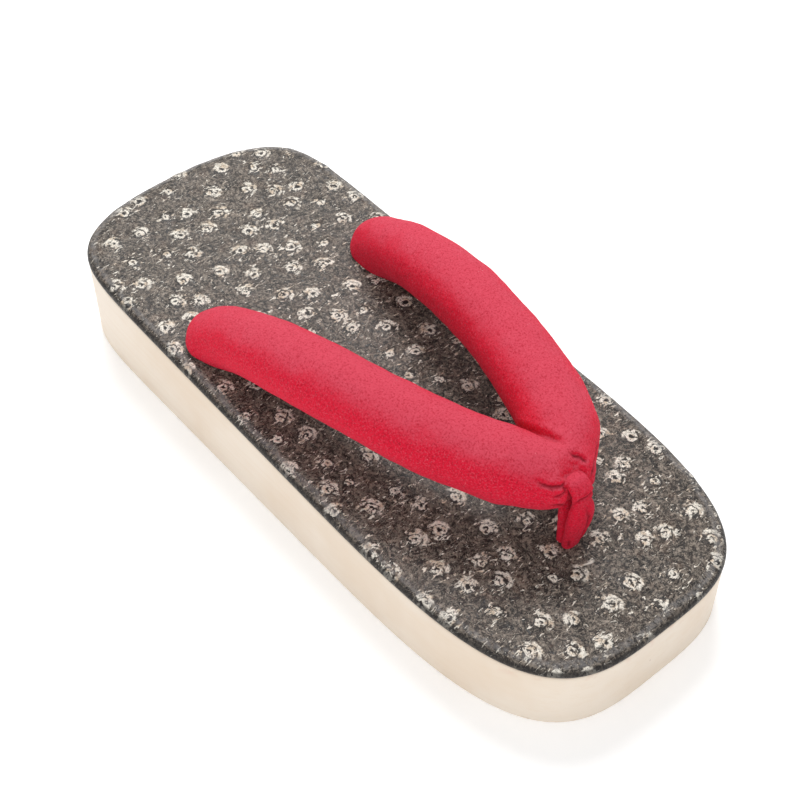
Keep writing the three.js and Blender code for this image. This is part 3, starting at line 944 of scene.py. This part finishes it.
toeLoop = {
    # x, z, half width, half thickness, from the hole up behind the neck and down in front
    "line": [
        (84.0, 22.0, 2.7, 1.8), (83.9, 29.0, 2.9, 1.9), (83.6, 35.0, 3.4, 2.1), (82.8, 44.0, 3.7, 2.0),
        (80.6, 50.6, 3.7, 1.9), (80.8, 54.4, 3.6, 1.8), (82.8, 56.8, 3.5, 1.5), (85.6, 57.0, 3.7, 1.7),
        (87.7, 55.0, 3.8, 1.8), (88.3, 52.0, 3.8, 1.8), (88.0, 48.6, 3.7, 1.8), (88.1, 44.6, 4.6, 2.5),
        (87.9, 39.0, 4.9, 2.7), (87.2, 33.5, 4.2, 2.4), (86.4, 28.5, 3.1, 2.0), (86.2, 22.0, 2.7, 1.7),
    ],
    "steps": 200, "sides": 44,
    # the light tone is painted light for the cloth that faces up
    "tone": tint(211, 18, 49), "paintedLightTone": tint(198, 72, 92), "toneDeep": tint(156, 6, 30),
    # the crease tone is painted shade in the folds
    "toneFleck": tint(214, 74, 94), "paintedCreaseShadeTone": tint(96, 2, 16),
}


def splineThrough(rows, steps):
    # smooth curve through every row, one value at a time
    rows = np.array(rows)
    gaps = np.linalg.norm(np.diff(rows[:, :2], axis=0), axis=1)
    knots = np.concatenate([[0], np.cumsum(gaps)])
    slopes = np.gradient(rows, knots, axis=0)
    at = np.linspace(0, knots[-1], steps)
    k = np.clip(np.searchsorted(knots, at, side="right") - 1, 0, len(rows) - 2)
    span = knots[k + 1] - knots[k]
    u = ((at - knots[k]) / span)[:, None]
    span = span[:, None]
    return ((2 * u**3 - 3 * u**2 + 1) * rows[k] + (u**3 - 2 * u**2 + u) * span * slopes[k]
            + (3 * u**2 - 2 * u**3) * rows[k + 1] + (u**3 - u**2) * span * slopes[k + 1])


def toeLoopMesh():
    line = splineThrough(toeLoop["line"], toeLoop["steps"])
    ahead = np.gradient(line[:, :2], axis=0)
    ahead /= np.linalg.norm(ahead, axis=1)[:, None]
    angle = np.linspace(0, 2 * math.pi, toeLoop["sides"], endpoint=False)
    rings = []
    for k, (x, z, width, thick) in enumerate(line):
        outward = np.array((-ahead[k, 1], 0.0, ahead[k, 0]))
        c, s = np.cos(angle), np.sin(angle)
        c = np.sign(c) * np.abs(c) ** 0.85
        s = np.sign(s) * np.abs(s) ** 0.9
        # lengthwise folds in the gathered cloth
        fold = 1 - 0.10 * np.exp(-((angle - 4.2) / 0.22) ** 2)
        fold = fold - 0.07 * np.exp(-((angle - 2.3) / 0.2) ** 2)
        ring = np.array((x, 0.0, z)) + (thick * c * fold)[:, None] * outward
        ring[:, 1] = -width * s * fold
        rings.append(ring)
    return ringMesh("toeLoop", rings)


loopCreases = [
    # nipped just under the join
    {"line": [(87.6, -4.6, 49.4), (89.0, -4.3, 51.0), (89.9, -2.5, 52.3), (90.1, 0.2, 52.2),
              (89.6, 2.6, 51.6)],
     "depth": 0.6, "width": 0.55, "endOpen": 1.0},
    # lengthwise folds in the front band
    {"line": [(90.0, -0.2, 48.6), (90.8, 0.4, 44.0), (90.4, 1.0, 39.5), (89.6, 0.8, 34.6),
              (88.4, 0.4, 29.0)],
     "depth": 0.8, "width": 0.6},
    {"line": [(89.0, -4.4, 33.5), (88.4, -3.8, 29.0)], "depth": 0.4, "width": 0.5},
]


def shapeToeLoop(mesh):
    points = meshPoints(mesh)
    normals = meshNormals(mesh)
    lumps = 0.28 * unevenness(points, 0.16, 2.0) + 0.14 * unevenness(points, 0.45, 4.0)
    points = points + normals * lumps[:, None]
    points += np.array(strap["lean"]) * smoothStep(points[:, 2], 44.0, 54.0)[:, None]
    # pulled toward the near edge of its hole
    points[:, 1] -= 0.9 * (1 - smoothStep(points[:, 2], 27.0, 40.0))
    shade = np.zeros(len(points))
    for fold in loopCreases:
        points, mark = crease(points, normals, fold)
        shade = np.maximum(shade, mark)
    setMeshPoints(mesh, points)
    return shade


loopPiece = toeLoopMesh()
shade = shapeToeLoop(loopPiece)
toeStem = stemMesh(*holePlaces["toe"], footbedHeight(holePlaces["toe"][0]) - 4)
loop = addPiece("toeLoop", joinMeshes("toeLoop", [loopPiece, toeStem]))
markCreases(loop.data, shade)
loop.data.materials.append(velourMaterial("crimsonVelourLoop", toeLoop))
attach(loop, "root")
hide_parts("toe_loop")
print("toe loop is built")
